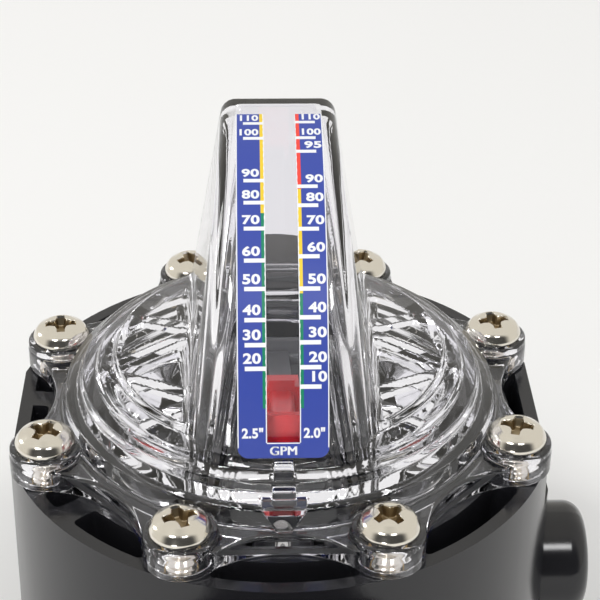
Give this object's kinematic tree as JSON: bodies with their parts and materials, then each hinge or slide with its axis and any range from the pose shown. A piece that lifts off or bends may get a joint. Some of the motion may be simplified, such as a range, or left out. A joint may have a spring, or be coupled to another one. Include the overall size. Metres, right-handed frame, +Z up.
{
  "type": "in-line flow meter",
  "caption": "Pool flow meter on a swing check valve body: black round casing with pipe ports, clear screwed lid with a tower and scale, and a red pointer moved by the flapper.",
  "frame": {"origin": "centre of the flat pad on the casing's underside, below the middle of the lid's screw circle", "axes": "+Z up through the lid and tower, -Y the way the water leaves (the tower's scale faces -Y), +X towards the blind side boss"},
  "size_m": [0.1299, 0.19, 0.1468],
  "materials": {
    "black_body": "moulded, semi-gloss",
    "clear_lid": "clear, polished",
    "screw_steel": "polished stainless",
    "stainless": "bright stainless",
    "insert_brass": "machined",
    "seal_rubber": "smooth",
    "label_print": "printed film",
    "red_pointer": "moulded, glossy",
    "arm_plastic": "moulded, semi-gloss",
    "washer_acetal": "machined"
  },
  "bodies": {
    "housing": {"valve_body": "black_body", "thread_inserts": "insert_brass", "lid_screws": "screw_steel", "lid_o_ring": "seal_rubber", "lid": "clear_lid", "scale_label": "label_print", "hinge_pin": "stainless", "hinge_pin_clips": "stainless", "thrust_washers": "washer_acetal"},
    "flapper": {"swing_arm": "arm_plastic", "flapper_disc": "arm_plastic", "flapper_seal": "seal_rubber", "seal_retainer": "stainless", "flapper_bolt": "stainless", "flapper_washer": "stainless", "flapper_nut": "stainless", "pointer": "red_pointer", "pointer_screw": "stainless", "spring_left": "stainless", "spring_right": "stainless"}
  },
  "joints": [
    {"name": "flapper_swing", "type": "hinge", "parent": "housing", "child": "flapper", "pos_m": [0, 0.027, 0.0785], "axis": [-1, 0, 0], "range_deg": [0, 57], "stiffness_Nm_per_rad": 0.02, "springref_deg": -34.38, "deforming": ["spring_left", "spring_right"]}
  ]
}
